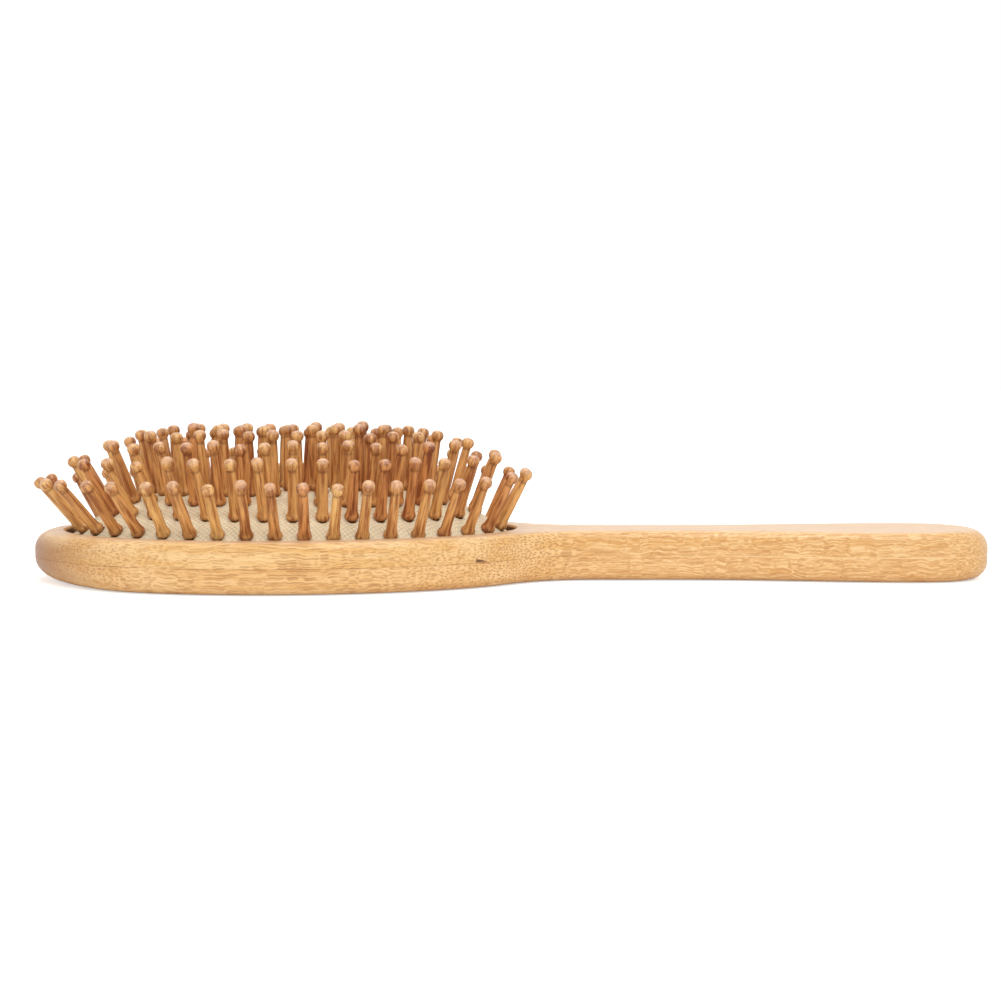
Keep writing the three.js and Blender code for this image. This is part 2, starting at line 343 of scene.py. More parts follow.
class Builder:
    """Collects points and faces of one mesh."""

    def __init__(self):
        self.points = []
        self.faces = []
        self.face_slots = []
        self.count = 0

    def add_points(self, points):
        start = self.count
        self.points.append(np.asarray(points, float))
        self.count += len(points)
        return start

    def add_faces(self, faces, slot=0):
        self.faces.extend(faces)
        self.face_slots.extend([slot] * len(faces))

    def add_stack(self, loops, slot=0):
        """Loops joined one above the other. Returns where the first and the last one start."""
        starts = [self.add_points(loop) for loop in loops]
        for a, b in zip(starts, starts[1:]):
            self.add_faces(bridge(a, b, len(loops[0])), slot)
        return starts[0], starts[-1]

    def cap(self, loops, keep, up=True, slot=0):
        """Fills between loops, given as (start, count), with triangles whose middle is kept."""
        used = [start + i for start, count in loops for i in range(count)]
        flat = np.concatenate(self.points)[used, :2]
        edges = []
        first = 0
        for _, count in loops:
            edges.extend((first + i, first + (i + 1) % count) for i in range(count))
            first += count
        result = delaunay_2d_cdt([Vector(p) for p in flat], edges, [], 0, 1e-7)
        coords, triangles, origins = result[0], result[2], result[3]
        plane = np.array([list(p) for p in coords])
        middles = np.array([plane[list(t)].mean(axis=0) for t in triangles])
        kept = keep(middles)
        faces = []
        for triangle, wanted in zip(triangles, kept):
            if wanted:
                corners = [used[origins[i][0]] for i in triangle]
                faces.append(tuple(corners if up else corners[::-1]))
        self.add_faces(faces, slot)

    def make(self, name, materials):
        mesh = bpy.data.meshes.new(name)
        points = np.concatenate(self.points) * MM
        mesh.from_pydata(points.tolist(), [], self.faces)
        for material in materials:
            mesh.materials.append(material)
        mesh.polygons.foreach_set("material_index", self.face_slots)
        mesh.polygons.foreach_set("use_smooth", [True] * len(self.faces))
        mesh.update()
        mesh.set_sharp_from_angle(angle=SHARP_ANGLE)
        piece = bpy.data.objects.new(name, mesh)
        bpy.context.scene.collection.objects.link(piece)
        return piece


def inside_loop(loop):
    """A test for points inside a closed loop, by the even-odd rule."""
    def test(points):
        a = loop
        b = np.roll(loop, -1, axis=0)
        x, y = points[:, 0:1], points[:, 1:2]
        crosses = (a[None, :, 1] > y) != (b[None, :, 1] > y)
        rise = np.where(b[:, 1] == a[:, 1], 1e-12, b[:, 1] - a[:, 1])
        at = a[None, :, 0] + (y - a[None, :, 1]) * ((b[:, 0] - a[:, 0]) / rise)[None, :]
        return (np.sum(crosses & (x < at), axis=1) % 2) == 1
    return test


# ---- The paddle ----

def edge_sizes(loop, rounding):
    """How far the rounding runs inwards and downwards at each point, larger at the two ends."""
    tip = smooth_step(TIP_START_X, -HEAD_HALF_LENGTH, loop[:, 0])
    end = smooth_step(END_START_X, HANDLE_END_X, loop[:, 0])
    return tuple(side + at_tip * tip + at_end * end for side, at_tip, at_end in zip(*rounding))


def rounded_edge(loop, sizes, face_height, side_sign):
    """Loops from the side to a flat face, one quarter of an ellipse."""
    inwards, downwards = sizes
    normals = outward_normals(loop)
    loops = []
    for turn in np.linspace(0, math.pi / 2, ROUNDING_ROWS):
        inset = inwards * (1 - math.cos(turn))
        drop = downwards * (1 - math.sin(turn))
        loops.append(at_height(loop - normals * inset[:, None], face_height - side_sign * drop))
    flat_part = (inwards + FLAT_MARGIN)[:, None]
    loops.append(at_height(loop - normals * flat_part, face_height))
    return loops


def chip_depth(points, height_from_seam):
    """How deep the splinter cuts into the near side at each point."""
    along = np.clip(1 - np.abs(points[:, 0] - CHIP_X) / (CHIP_LENGTH / 2), 0, 1)
    near = points[:, 1] < 0
    upright = max(0.0, 1 - abs(height_from_seam - CHIP_RISE) / CHIP_HEIGHT)
    return CHIP_DEPTH * along**CHIP_BLUNTNESS * near * upright


def side_rows(loop, from_height, to_heights):
    """Upright loops of a board's side, from the glue line to where the rounding starts."""
    normals = outward_normals(loop)
    rows = [at_height(loop - normals * SEAM_DEPTH, from_height)]
    for share in SIDE_SHARES:
        height = from_height + (to_heights - from_height) * share
        dent = chip_depth(loop, float(np.median(height) - from_height))
        rows.append(at_height(loop - normals * dent[:, None], height))
    return rows


def opening_loops():
    """The wall of the opening from its rim down to the glue line, with the groove in it."""
    step = OPENING_EASE / CUSHION_HALF_WIDTH
    eased = []
    for turn in np.linspace(math.pi / 2, 0, 4):
        level = OPENING_LEVEL + step * (1 - math.cos(turn))
        eased.append((level, -OPENING_EASE * (1 - math.sin(turn))))
    walls = [(OPENING_LEVEL, GROOVE_TOP), (GROOVE_LEVEL, GROOVE_TOP), (GROOVE_LEVEL, GROOVE_BOTTOM),
             (OPENING_LEVEL, GROOVE_BOTTOM), (OPENING_LEVEL, GLUE_HEIGHT - THICKNESS)]
    return [at_height(level_loop(level, OPENING_POINTS), THICKNESS + height)
            for level, height in eased + walls]


def front_board(materials):
    outline = fine_outline()
    top = edge_sizes(outline, TOP_ROUNDING)
    rows = side_rows(outline, GLUE_HEIGHT, THICKNESS - top[1])
    rows += rounded_edge(outline, top, THICKNESS, 1)
    board = Builder()
    seam, rim = board.add_stack(rows)
    wall = opening_loops()
    first, last = board.add_stack(wall, slot=1)
    outside = inside_loop(rows[-1][:, :2])
    hole = inside_loop(wall[0][:, :2])
    board.cap([(rim, len(outline)), (first, OPENING_POINTS)], lambda p: outside(p) & ~hole(p))
    under = inside_loop(rows[0][:, :2])
    shaft = inside_loop(wall[-1][:, :2])
    board.cap([(seam, len(outline)), (last, OPENING_POINTS)],
              lambda p: under(p) & ~shaft(p), up=False)
    return board.make("front_board_bamboo", materials)


def back_board(materials):
    outline = fine_outline()
    bottom = edge_sizes(outline, BOTTOM_ROUNDING)
    rows = side_rows(outline, GLUE_HEIGHT, bottom[1])
    rows += rounded_edge(outline, bottom, 0, -1)
    board = Builder()
    bottom_start, seam = board.add_stack(rows[::-1])
    count = len(outline)
    board.cap([(seam, count)], inside_loop(rows[0][:, :2]))
    board.cap([(bottom_start, count)], inside_loop(rows[-1][:, :2]), up=False)
    return board.make("back_board_bamboo", materials)


# ---- The pins ----

def ring_places():
    """Every group of pins by name, each with its pins' feet in order round the ring."""
    groups = {}
    for index, (ring, first_pin, sizes) in enumerate(RINGS):
        inset = RING_PITCH * index
        angle = np.linspace(0, FULL_TURN, 2001)
        curve = egg(FIRST_RING_HALF_LENGTH - inset, FIRST_RING_HALF_WIDTH - inset, RING_TAPER, angle)
        steps = np.linalg.norm(np.diff(curve, axis=0), axis=1)
        travelled = np.concatenate([[0], np.cumsum(steps)])
        count = sum(sizes)
        wanted = ((np.arange(count) + first_pin) / count % 1) * travelled[-1]
        feet = np.stack([np.interp(wanted, travelled, curve[:, axis]) for axis in (0, 1)], axis=-1)
        start = 0
        for name, size in zip(group_names(len(sizes)), sizes):
            groups[f"pins_{ring}_{name}"] = feet[start:start + size]
            start += size
    return groups


def group_names(count):
    if count == 2:
        return ["left", "right"]
    numbers = range(1, count // 2)
    left = [f"left_{number}" for number in numbers]
    right = [f"right_{number}" for number in numbers]
    return ["handle_end", *left, "tip", *right[::-1]]


def pin_frames(feet):
    """Where each pin's foot sits and which way the pin points."""
    slope = dome_slope(feet)
    steepness = np.linalg.norm(slope, axis=1)
    outward = -slope / steepness[:, None]
    skew = 1 - LEAN_SKEW * feet[:, 0] / CUSHION_HALF_LENGTH
    lean = np.arctan(steepness) * LEAN_SHARE * skew
    return outward, lean


def pin_profile():
    """Radius and height of a pin's outline, from its root under the sheet to the top of its ball."""
    rows = list(PIN_PROFILE)
    for turn in np.linspace(BALL_START, BALL_END, BALL_ROWS):
        rise = math.sin(turn)
        height = BALL_HEIGHT + BALL_RADIUS * (rise - BALL_FLATNESS * max(rise, 0) ** 3)
        rows.append((BALL_RADIUS * math.cos(turn), height))
    rows.append((0, rows[-1][1]))
    return rows


def turned(x, y, angle):
    return (x * math.cos(angle) - y * math.sin(angle),
            x * math.sin(angle) + y * math.cos(angle))


def pin_axes(away, tilt):
    """The direction along a pin and two directions across it."""
    axis = np.array([*(away * math.sin(tilt)), math.cos(tilt)])
    side = np.cross(axis, (0, 0, 1)) if tilt > UPRIGHT_LEAN else np.array([1.0, 0, 0])
    side /= np.linalg.norm(side)
    return axis, side, np.cross(axis, side)


def add_pin(builder, base, away, tilt, chance):
    """Turns one pin. Returns where its points lie in its own piece of wood, and their shade."""
    lean_error = np.clip(chance.normal(0, LEAN_SPREAD), -MOST_LEAN_ERROR, MOST_LEAN_ERROR)
    tilt += math.radians(float(lean_error))
    away = np.array(turned(*away, math.radians(chance.normal(0, SWERVE_SPREAD))))
    axis, side, across = pin_axes(away, tilt)
    stretch = 1 + chance.normal(0, LENGTH_SPREAD)
    girth = 1 + chance.normal(0, GIRTH_SPREAD)
    offset = chance.uniform(-WOOD_REACH, WOOD_REACH, 2)
    spin = chance.uniform(0, FULL_TURN)
    shade = chance.uniform()
    around = np.arange(PIN_SIDES) / PIN_SIDES * FULL_TURN
    loops = []
    places = []
    for radius, along in pin_profile():
        thick = radius * (girth if SHAFT_HEIGHTS[0] < along < SHAFT_HEIGHTS[1] else 1)
        along *= stretch if along > 0 else 1
        x = thick * np.cos(around)
        y = thick * np.sin(around)
        if radius == 0:
            x, y = x[:1], y[:1]
        loops.append(base + x[:, None] * side + y[:, None] * across + along * axis)
        wood_x, wood_y = turned(x, y, spin)
        depth = np.full(len(x), along)
        places.append(np.stack([wood_x + offset[0], wood_y + offset[1], depth], axis=-1))
    first = builder.add_points(loops[0])
    start, end = builder.add_stack(loops[1:-1])
    top = builder.add_points(loops[-1])
    for i in range(PIN_SIDES):
        j = (i + 1) % PIN_SIDES
        builder.add_faces([(first, start + j, start + i), (end + i, end + j, top)])
    places = np.concatenate(places)
    return places, np.full(len(places), shade)


def pin_group(name, feet, chance, material):
    """One piece for a group: every pin turned from a slightly different blank."""
    builder = Builder()
    heights = dome_height(level_at(feet))
    pins = []
    for foot, height, away, tilt in zip(feet, heights, *pin_frames(feet)):
        base = np.array([foot[0], foot[1], THICKNESS + height])
        pins.append(add_pin(builder, base, away, tilt, chance))
    places, shades = (np.concatenate(parts).astype(np.float32) for parts in zip(*pins))
    piece = builder.make(f"{name}_wood", [material])
    space = piece.data.attributes.new("pin_space", "FLOAT_VECTOR", "POINT")
    space.data.foreach_set("vector", places.ravel())
    shade = piece.data.attributes.new("pin_tone", "FLOAT", "POINT")
    shade.data.foreach_set("value", shades)
    return piece


# ---- The cushion ----

def pin_hole(foot, outward, lean):
    """Where a leaning pin's neck leaves the sheet, as an ellipse in plan."""
    around = np.arange(HOLE_SIDES) / HOLE_SIDES * FULL_TURN
    along = HOLE_RADIUS / math.cos(lean) * np.cos(around)
    across = HOLE_RADIUS * np.sin(around)
    side = np.array([-outward[1], outward[0]])
    return foot + along[:, None] * outward + across[:, None] * side


def sheet_plan(feet):
    """Points and triangles of the sheet seen from above: border first, then holes, then a fine grid."""
    outward, lean = pin_frames(feet)
    border = level_loop(1, BORDER_POINTS)
    holes = [pin_hole(*pin) for pin in zip(feet, outward, lean)]
    row_pitch = CELL * math.sqrt(3) / 2
    rows = np.arange(-CUSHION_HALF_WIDTH, CUSHION_HALF_WIDTH, row_pitch)
    columns = np.arange(-CUSHION_HALF_LENGTH, CUSHION_HALF_LENGTH, CELL)
    grid = np.array([(x + (i % 2) * CELL / 2, y) for i, y in enumerate(rows) for x in columns])
    grid = grid[level_at(grid) < 1 - 0.5 * CELL / CUSHION_HALF_WIDTH]
    gaps = np.min(np.linalg.norm(grid[:, None] - feet[None], axis=-1), axis=1)
    grid = grid[gaps > HOLE_RADIUS + 0.6 * CELL]
    points = np.concatenate([border, *holes, grid])
    edges = [(i, (i + 1) % BORDER_POINTS) for i in range(BORDER_POINTS)]
    for first in range(BORDER_POINTS, BORDER_POINTS + HOLE_SIDES * len(holes), HOLE_SIDES):
        edges.extend((first + i, first + (i + 1) % HOLE_SIDES) for i in range(HOLE_SIDES))
    result = delaunay_2d_cdt([Vector(p) for p in points], edges, [], 0, 1e-7)
    triangles = np.array([[result[3][i][0] for i in t] for t in result[2]])
    middles = points[triangles].mean(axis=1)
    inside = inside_loop(border)(middles)
    gaps = np.linalg.norm(middles[:, None] - feet[None], axis=-1)
    in_hole = np.zeros(len(middles), bool)
    for i in np.nonzero(np.min(gaps, axis=1) < 2 * HOLE_RADIUS)[0]:
        in_hole[i] = inside_loop(holes[int(np.argmin(gaps[i]))])(middles[i:i + 1])[0]
    return points, triangles[inside & ~in_hole]


def puffed(points, triangles, feet):
    """Blows the sheet up as a cloth held at its border and at every pin, and says where it went."""
    mesh = bpy.data.meshes.new("sheet_cloth")
    mesh.from_pydata((points * MM).tolist(), [], triangles.tolist())
    cloth = bpy.data.objects.new("sheet_cloth", mesh)
    scene = bpy.context.scene
    scene.collection.objects.link(cloth)
    held = cloth.vertex_groups.new(name="held")
    gaps = np.min(np.linalg.norm(points[:, None, :2] - feet[None], axis=-1), axis=1)
    border = np.arange(len(points)) < BORDER_POINTS
    weights = np.maximum(1 - smooth_step(HELD_RADIUS, FREE_RADIUS, gaps), border)
    for i in np.nonzero(weights > 0)[0]:
        held.add([int(i)], float(weights[i]), "REPLACE")
    modifier = cloth.modifiers.new("air", "CLOTH")
    settings = modifier.settings
    settings.quality = 6
    settings.mass = 0.4
    settings.tension_stiffness = 30
    settings.compression_stiffness = 30
    settings.shear_stiffness = 15
    settings.bending_stiffness = 2
    settings.vertex_group_mass = "held"
    settings.use_pressure = True
    settings.uniform_pressure_force = CLOTH_PRESSURE
    settings.effector_weights.gravity = 0
    modifier.collision_settings.use_collision = False
    for number in range(1, CLOTH_FRAMES + 1):
        scene.frame_set(number)
    view = bpy.context.evaluated_depsgraph_get()
    moved = cloth.evaluated_get(view).to_mesh()
    after = np.zeros(len(points) * 3)
    moved.vertices.foreach_get("co", after)
    after = after.reshape(-1, 3) / MM
    bpy.data.objects.remove(cloth)
    scene.frame_set(1)
    return after


def vertex_normals(points, triangles):
    a, b, c = (points[triangles[:, corner]] for corner in range(3))
    face = np.cross(b - a, c - a)
    normals = np.zeros_like(points)
    for corner in range(3):
        np.add.at(normals, triangles[:, corner], face)
    return normals / np.linalg.norm(normals, axis=1)[:, None]


def bead_loops():
    """The sheet's edge, from its inner face round the bead in the groove and up to its outer face."""
    corners = ((BEAD_INNER_LEVEL, BEAD_BOTTOM), (BEAD_LEVEL, BEAD_BOTTOM), (BEAD_LEVEL, BEAD_TOP),
               (SHEET_EDGE_LEVEL, BEAD_TOP), (SHEET_EDGE_LEVEL, SHEET_EDGE_HEIGHT))
    return [at_height(level_loop(level, BORDER_POINTS), THICKNESS + height)
            for level, height in corners]


def cushion(feet, material):
    """The sheet with its holes, its inner face and the bead that holds it in the groove."""
    plan, triangles = sheet_plan(feet)
    points = at_height(plan, dome_height(level_at(plan)))
    points[:BORDER_POINTS, 2] = dome_height(1)
    normals = vertex_normals(points, triangles)
    rise = np.sum((puffed(points, triangles, feet) - points) * normals, axis=1)
    swelling = MOST_PUFF * np.tanh(np.clip(rise, 0, None) / MOST_PUFF)
    points = points + normals * swelling[:, None]
    gaps = np.min(np.linalg.norm(plan[:, None] - feet[None], axis=-1), axis=1)
    points[:, 2] -= DIMPLE * (1 - smooth_step(HOLE_RADIUS, FREE_RADIUS, gaps))
    inner = points - vertex_normals(points, triangles) * SHEET
    builder = Builder()
    top = builder.add_points(points + (0, 0, THICKNESS))
    under = builder.add_points(inner + (0, 0, THICKNESS))
    builder.add_faces([tuple(int(i) for i in t) for t in triangles])
    builder.add_faces([tuple(int(i) + under for i in t[::-1]) for t in triangles])
    for hole in range(len(feet)):
        first = BORDER_POINTS + hole * HOLE_SIDES
        builder.add_faces(bridge(top + first, under + first, HOLE_SIDES))
    first, last = builder.add_stack(bead_loops())
    builder.add_faces(bridge(under, first, BORDER_POINTS))
    builder.add_faces(bridge(last, top, BORDER_POINTS))
    return builder.make("cushion_sheet", [material])


# ---- Materials ----

def tone(red, green, blue):
    """A colour given as it looks on a screen, from 0 to 255."""
    linear = [(((c / 255) + 0.055) / 1.055) ** 2.4 if c > 10 else c / 255 / 12.92
              for c in (red, green, blue)]
    return (*linear, 1)


class Recipe:
    """A material put together node by node."""

    def __init__(self, name):
        self.material = bpy.data.materials.new(name)
        self.material.use_nodes = True
        self.tree = self.material.node_tree
        self.shader = self.tree.nodes["Principled BSDF"]

    def set(self, node, socket, value):
        target = node.inputs[socket]
        if isinstance(value, bpy.types.NodeSocket):
            self.tree.links.new(value, target)
        else:
            target.default_value = value

    def add(self, kind, output=0, inputs=None, **settings):
        node = self.tree.nodes.new(kind)
        for key, value in settings.items():
            setattr(node, key, value)
        for socket, value in (inputs or {}).items():
            self.set(node, socket, value)
        return node.outputs[output]

    def place(self):
        """The place on the piece in millimetres."""
        at = self.add("ShaderNodeTexCoord", output="Object")
        return self.stretch(at, (1 / MM, 1 / MM, 1 / MM))

    def attribute(self, name, output="Vector"):
        return self.add("ShaderNodeAttribute", output=output, attribute_name=name)

    def stretch(self, vector, factors):
        return self.add("ShaderNodeVectorMath", inputs={0: vector, 1: factors}, operation="MULTIPLY")

    def shift(self, vector, by):
        return self.add("ShaderNodeVectorMath", inputs={0: vector, 1: by}, operation="ADD")

    def split(self, vector):
        node = self.tree.nodes.new("ShaderNodeSeparateXYZ")
        self.set(node, 0, vector)
        return node.outputs

    def noise(self, vector, scale=1.0, detail=2.0, rough=0.5):
        return self.add("ShaderNodeTexNoise", output="Fac",
                        inputs={"Vector": vector, "Scale": scale, "Detail": detail, "Roughness": rough})

    def strands(self, across, upward, density, offset):
        """Distance to the nearest of many strands that all run along X."""
        section = self.add("ShaderNodeCombineXYZ", inputs={"X": across, "Y": upward})
        return self.add("ShaderNodeTexVoronoi", output="Distance", voronoi_dimensions="2D",
                        inputs={"Vector": self.shift(section, offset), "Scale": density,
                                "Randomness": 0.75})

    def maths(self, operation, first, second=0.0, third=0.0):
        return self.add("ShaderNodeMath", inputs={0: first, 1: second, 2: third}, operation=operation)

    def span(self, value, low, high, start=0.0, end=1.0):
        """Value between low and high, smoothed and carried to start and end."""
        return self.add("ShaderNodeMapRange", interpolation_type="SMOOTHSTEP",
                        inputs={0: value, 1: low, 2: high, 3: start, 4: end})

    def mix(self, share, first, second, blend="MIX"):
        node = self.tree.nodes.new("ShaderNodeMix")
        node.data_type = "RGBA"
        node.blend_type = blend
        self.set(node, 0, share)
        self.set(node, 6, first)
        self.set(node, 7, second)
        return node.outputs[2]

    def bump(self, height, distance, strength):
        """Relief of the given depth in millimetres."""
        return self.add("ShaderNodeBump",
                        inputs={"Height": height, "Distance": distance * MM, "Strength": strength})

    def finish(self, colour, roughness, normal=None, **others):
        """Sets the shader's inputs. The others are named as in Blender, with _ for each space."""
        self.set(self.shader, "Base Color", colour)
        self.set(self.shader, "Roughness", roughness)
        if normal is not None:
            self.set(self.shader, "Normal", normal)
        for socket, value in others.items():
            self.set(self.shader, socket.replace("_", " "), value)
        return self.material


def bamboo_fibres(recipe, place, grip, offset):
    """The bent grain as a place along and across the fibres, and the distance to the next fibre."""
    along, depth, height = recipe.split(place)
    slow = recipe.shift(recipe.stretch(place, (0.045, 0.02, 0.02)), offset)
    drift = recipe.add("ShaderNodeTexNoise", output="Color", inputs={"Vector": slow, "Detail": 2.0})
    waves = recipe.split(recipe.shift(drift, (-0.5, -0.5, -0.5)))
    reach = recipe.maths("MULTIPLY_ADD", grip, FIBRE_WAVE * GRIP_WAVINESS, FIBRE_WAVE)
    across = recipe.maths("MULTIPLY_ADD", waves[0], reach, depth)
    upward = recipe.maths("MULTIPLY_ADD", waves[1], FIBRE_WAVE, height)
    grain = recipe.add("ShaderNodeCombineXYZ", inputs={"X": along, "Y": across, "Z": upward})
    return grain, recipe.strands(across, upward, 1 / FIBRE_PITCH, offset)


def glue_line(recipe, place, grip, colour):
    """The line between the boards: brown in places on the head, pale all along the handle."""
    along, _, height = recipe.split(place)
    gap = recipe.maths("ABSOLUTE", recipe.maths("SUBTRACT", height, GLUE_HEIGHT))
    patchy = recipe.noise(recipe.stretch(place, (0.06, 0.06, 0)))
    patchy = recipe.span(patchy, 0.42, 0.62, 0.1, 0.55)
    tail = recipe.maths("MULTIPLY", recipe.maths("GREATER_THAN", along, CHIP_X),
                        recipe.span(along, CHIP_X, CHIP_X + CHIP_TAIL, 0.6, 0))
    patchy = recipe.maths("MAXIMUM", patchy, tail)
    patchy = recipe.maths("MAXIMUM", patchy, recipe.span(along, *PALE_LINE_START, 0, 0.8))
    line = recipe.span(gap, 0.04, 0.16, 1, 0)
    glue = recipe.mix(grip, tone(150, 100, 56), tone(255, 226, 172))
    return recipe.mix(recipe.maths("MULTIPLY", line, patchy), colour, glue)


def chip_shade_mask(recipe, place):
    """Where the splinter's hollow is painted dark as shade, a wedge that thins out towards the handle.
    """
    along, depth, height = recipe.split(place)
    run = recipe.maths("SUBTRACT", along, CHIP_X - CHIP_LENGTH / 2)
    rise = recipe.maths("SUBTRACT", height, GLUE_HEIGHT + 0.1)
    roof = recipe.maths("MULTIPLY_ADD", run, -CHIP_HEIGHT / CHIP_LENGTH, CHIP_HEIGHT)
    below_roof = recipe.maths("SUBTRACT", roof, rise)
    inside = recipe.maths("MINIMUM", run, recipe.maths("MINIMUM", rise, below_roof))
    near_side = recipe.maths("LESS_THAN", depth, 0.0)
    return recipe.maths("MULTIPLY", recipe.span(inside, -0.05, 0.12, 0, 0.9), near_side)


def bamboo(name, offset, pale, golden, tan):
    """Bamboo with wavy fibres along X: streaks on the sides and dots where they are cut across."""
    recipe = Recipe(name)
    place = recipe.place()
    along = recipe.split(place)[0]
    grip = recipe.span(along, *GRIP_START)
    grain, bundle = bamboo_fibres(recipe, place, grip, offset)
    bands = recipe.noise(recipe.shift(recipe.stretch(grain, (0.012, 0.2, 0.35)), offset))
    clouds = recipe.noise(recipe.shift(recipe.stretch(place, (0.05, 0.09, 0.14)), offset), detail=3.0)
    flow = recipe.noise(recipe.shift(recipe.stretch(grain, (0.12, 2.7, 2.7)), offset))
    fine = recipe.noise(recipe.stretch(grain, (0.09, 3.2, 3.2)), detail=3.0, rough=0.6)
    colour = recipe.mix(recipe.span(bands, 0.38, 0.62), golden, pale)
    colour = recipe.mix(recipe.span(clouds, 0.4, 0.62, 0, 0.45), colour, golden)
    colour = recipe.mix(recipe.maths("MULTIPLY", grip, 0.5), colour, tone(226, 166, 98))
    pale_share = recipe.maths("MULTIPLY_ADD", grip, 0.35, 0.4)
    lit = recipe.maths("MULTIPLY", recipe.span(flow, 0.5, 0.64), pale_share)
    colour = recipe.mix(lit, colour, tone(255, 218, 160))
    colour = recipe.mix(recipe.span(flow, 0.36, 0.48, 0.42, 0), colour, tan)
    streak = recipe.span(bundle, 0.14, 0.38, 1, 0)
    thick = recipe.maths("MAXIMUM", recipe.span(clouds, 0.32, 0.66, 0.3, 0.7),
                         recipe.span(along, *NECK_START, 0, 0.75))
    thick = recipe.maths("MULTIPLY", thick, recipe.maths("MULTIPLY_ADD", grip, -0.65, 1.0))
    colour = recipe.mix(recipe.maths("MULTIPLY", streak, thick), colour, tan)
    colour = recipe.mix(recipe.span(fine, 0.52, 0.75, 0, 0.3), colour, tan)
    # Painted shade: faces turned towards the tip are darkened to a deep tan.
    facing = recipe.split(recipe.add("ShaderNodeTexCoord", output="Normal"))
    tip_side_shade = recipe.span(facing[0], -0.9, -0.3, 0.9, 0)
    colour = recipe.mix(tip_side_shade, colour, tone(164, 104, 50))
    # Painted highlight: faces turned upwards pale towards a pinkish white, as the white room glances
    # off them.
    top_highlight = recipe.span(facing[2], 0.8, 1.0, 0, 0.45)
    colour = recipe.mix(top_highlight, colour, tone(236, 208, 180))
    colour = glue_line(recipe, place, grip, colour)
    # Painted shade: the splinter's hollow turns dark brown.
    colour = recipe.mix(chip_shade_mask(recipe, place), colour, tone(104, 64, 34))
    relief = recipe.maths("SUBTRACT", recipe.maths("MULTIPLY", fine, 0.5), streak)
    roughness = recipe.span(fine, 0.3, 0.7, 0.36, 0.48)
    return recipe.finish(colour, roughness, recipe.bump(relief, 0.03, 0.4),
                         Specular_IOR_Level=0.5, Coat_Weight=0.35, Coat_Roughness=0.3)


def dark_opening_wall():
    """The wall of the opening, dark brown and paler near the rim."""
    recipe = Recipe("dark_opening_bamboo")
    place = recipe.place()
    grain = recipe.noise(recipe.stretch(place, (0.2, 0.8, 2.5)), detail=3.0)
    colour = recipe.mix(recipe.span(grain, 0.3, 0.7), tone(78, 45, 25), tone(118, 74, 42))
    height = recipe.split(place)[2]
    near_rim = recipe.span(height, THICKNESS - 0.8, THICKNESS - 0.1)
    colour = recipe.mix(near_rim, colour, tone(214, 168, 112))
    return recipe.finish(colour, 0.7)


def pin_wood():
    """Carbonised bamboo: every pin has its own tone, dark streaks along it and a darker foot."""
    recipe = Recipe("pin_bamboo")
    place = recipe.attribute("pin_space")
    own = recipe.attribute("pin_tone", "Fac")
    height = recipe.split(place)[2]
    grain = recipe.noise(recipe.stretch(place, (1.1, 1.1, 0.1)), detail=3.0, rough=0.55)
    fine = recipe.noise(recipe.stretch(place, (4.5, 4.5, 0.3)), detail=2.0)
    light = recipe.mix(own, tone(226, 156, 92), tone(248, 198, 124))
    dark = recipe.mix(own, tone(140, 74, 38), tone(184, 120, 64))
    colour = recipe.mix(recipe.span(grain, 0.36, 0.66), light, dark)
    colour = recipe.mix(recipe.span(fine, 0.54, 0.74, 0, 0.5), colour, tone(112, 62, 34))
    # The pins turn darker towards their foot.
    darker_foot = recipe.span(height, 0.1, 1.5, 0.5, 0)
    colour = recipe.mix(darker_foot, colour, tone(116, 66, 38))
    # Painted shade: a dark ring round the neck, under the ball.
    neck = recipe.maths("ABSOLUTE", recipe.maths("SUBTRACT", height, NECK_HEIGHT))
    colour = recipe.mix(recipe.span(neck, 0.1, 0.6, 0.45, 0), colour, tone(112, 62, 36))
    # Painted highlight: the top of each ball pales towards pink.
    crown = recipe.span(height, BALL_HEIGHT + 0.7, BALL_HEIGHT + 1.2, 0, 0.45)
    colour = recipe.mix(crown, colour, tone(226, 176, 140))
    bumps = recipe.bump(recipe.maths("ADD", grain, fine), 0.05, 0.5)
    roughness = recipe.span(grain, 0.3, 0.7, 0.36, 0.52)
    coat = recipe.span(height, NECK_HEIGHT, BALL_HEIGHT, 0, 0.6)
    return recipe.finish(colour, roughness, bumps, Specular_IOR_Level=0.35,
                         Coat_Weight=coat, Coat_Roughness=0.18)


def woven_cotton():
    """Cream cloth over rubber: two sets of threads crossing on the slant, with a grey-green fleck."""
    recipe = Recipe("cushion_cotton")
    place = recipe.place()
    wobble = recipe.add("ShaderNodeTexNoise", output="Color", inputs={"Vector": place, "Scale": 0.25})
    place = recipe.add("ShaderNodeVectorMath", operation="ADD",
                       inputs={0: place, 1: recipe.stretch(wobble, (0.5, 0.5, 0))})
    x, y, _ = recipe.split(place)
    turn = FULL_TURN / (WEAVE_PITCH * math.sqrt(2))
    one = recipe.maths("SINE", recipe.maths("MULTIPLY", recipe.maths("ADD", x, y), turn))
    other = recipe.maths("SINE", recipe.maths("MULTIPLY", recipe.maths("SUBTRACT", x, y), turn))
    weave = recipe.maths("MULTIPLY", one, other)
    low = recipe.maths("MINIMUM", one, other)
    speck = recipe.noise(place, scale=2.4, detail=2.0)
    cream = recipe.mix(recipe.span(speck, 0.35, 0.65), tone(255, 244, 212), tone(250, 232, 194))
    worn = recipe.span(recipe.noise(place, scale=0.35), 0.35, 0.65, 0.25, 0.5)
    thread = recipe.maths("MULTIPLY", recipe.span(low, -1.0, -0.45, 1, 0), worn)
    colour = recipe.mix(thread, cream, tone(176, 164, 128))
    weave = recipe.maths("MULTIPLY", weave, 0.35)
    height = recipe.maths("ADD", weave, recipe.maths("MULTIPLY", low, 0.65))
    bumps = recipe.bump(height, 0.1, 0.45)
    return recipe.finish(colour, 0.85, bumps, Sheen_Weight=0.25, Sheen_Roughness=0.5,
                         Specular_IOR_Level=0.25)


# ---- The room ----

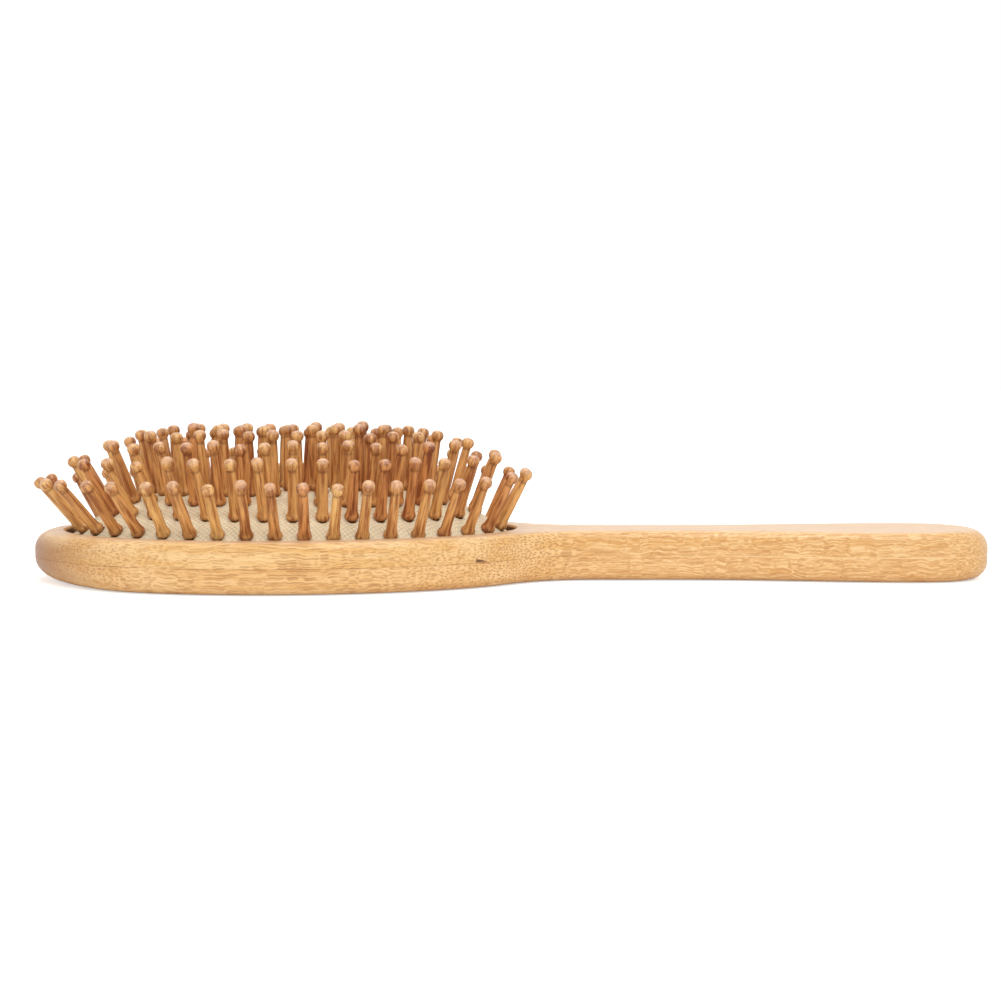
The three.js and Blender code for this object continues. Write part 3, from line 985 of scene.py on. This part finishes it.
def pale_floor():
    """A matt floor that looks white to the camera and adds no light of its own to the brush."""
    bpy.ops.mesh.primitive_plane_add(size=FLOOR_SIZE, location=(0, 0, -FLOOR_DROP))
    floor = bpy.context.object
    floor.name = "floor"
    paint = Recipe("pale_floor")
    seen = paint.add("ShaderNodeLightPath", output="Is Camera Ray")
    glow = paint.maths("MULTIPLY", seen, FLOOR_GLOW)
    white = (1, 1, 1, 1)
    floor.data.materials.append(paint.finish(tone(247, 246, 244), 0.9, Specular_IOR_Level=0.1,
                                             Emission_Color=white, Emission_Strength=glow))


def studio_air():
    """A white surrounding, full for the camera and for reflections and dimmer as a light."""
    world = bpy.data.worlds.new("studio")
    bpy.context.scene.world = world
    world.use_nodes = True
    tree = world.node_tree
    background = tree.nodes["Background"]
    background.inputs["Color"].default_value = (1, 1, 1, 1)
    path = tree.nodes.new("ShaderNodeLightPath")
    direct = tree.nodes.new("ShaderNodeMath")
    direct.operation = "MAXIMUM"
    strength = tree.nodes.new("ShaderNodeMapRange")
    strength.inputs["To Min"].default_value = AMBIENT
    strength.inputs["To Max"].default_value = BACKDROP
    tree.links.new(path.outputs["Is Camera Ray"], direct.inputs[0])
    tree.links.new(path.outputs["Is Glossy Ray"], direct.inputs[1])
    tree.links.new(direct.outputs[0], strength.inputs["Value"])
    tree.links.new(strength.outputs[0], background.inputs["Strength"])


def soft_lamp(name, place, size, power):
    """A square lamp that faces the brush."""
    lamp = bpy.data.lights.new(name, "AREA")
    lamp.size = size
    lamp.energy = power
    stand = bpy.data.objects.new(name, lamp)
    stand.location = place
    aim = Vector(LAMP_AIM) - Vector(place)
    stand.rotation_euler = aim.to_track_quat("-Z", "Y").to_euler()
    bpy.context.scene.collection.objects.link(stand)


def camera():
    lens = bpy.data.cameras.new("camera")
    lens.lens = LENS
    lens.sensor_width = SENSOR_WIDTH
    view = bpy.data.objects.new("camera", lens)
    view.location = CAMERA_PLACE
    view.rotation_euler = (math.pi / 2 - CAMERA_PITCH, 0, 0)
    bpy.context.scene.collection.objects.link(view)
    bpy.context.scene.camera = view


# ---- Putting it together ----

def place_piece(piece, node, body=None):
    """Lets a piece stand for a node of the frame. It rides the body, if one is given."""
    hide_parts(node)
    if body:
        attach(piece, body)


front_bamboo = bamboo("front_bamboo", (0, 0, 0),
                      tone(250, 208, 146), tone(238, 186, 112), tone(186, 124, 64))
back_bamboo = bamboo("back_bamboo", (40, 25, 90),
                     tone(250, 206, 144), tone(238, 186, 116), tone(188, 126, 68))
place_piece(front_board([front_bamboo, dark_opening_wall()]), "front_board", "paddle")
place_piece(back_board([back_bamboo]), "back_board", "paddle")

groups = ring_places()
pad = cushion(np.concatenate(list(groups.values())), woven_cotton())
place_piece(pad, "cushion_pad")
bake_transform(pad)

chance = np.random.default_rng(PIN_SEED)
wood = pin_wood()
for name, feet in groups.items():
    place_piece(pin_group(name, feet, chance, wood), name, name)

pale_floor()
studio_air()
for lamp in LAMPS:
    soft_lamp(*lamp)
camera()
bpy.context.scene.view_settings.view_transform = "Standard"
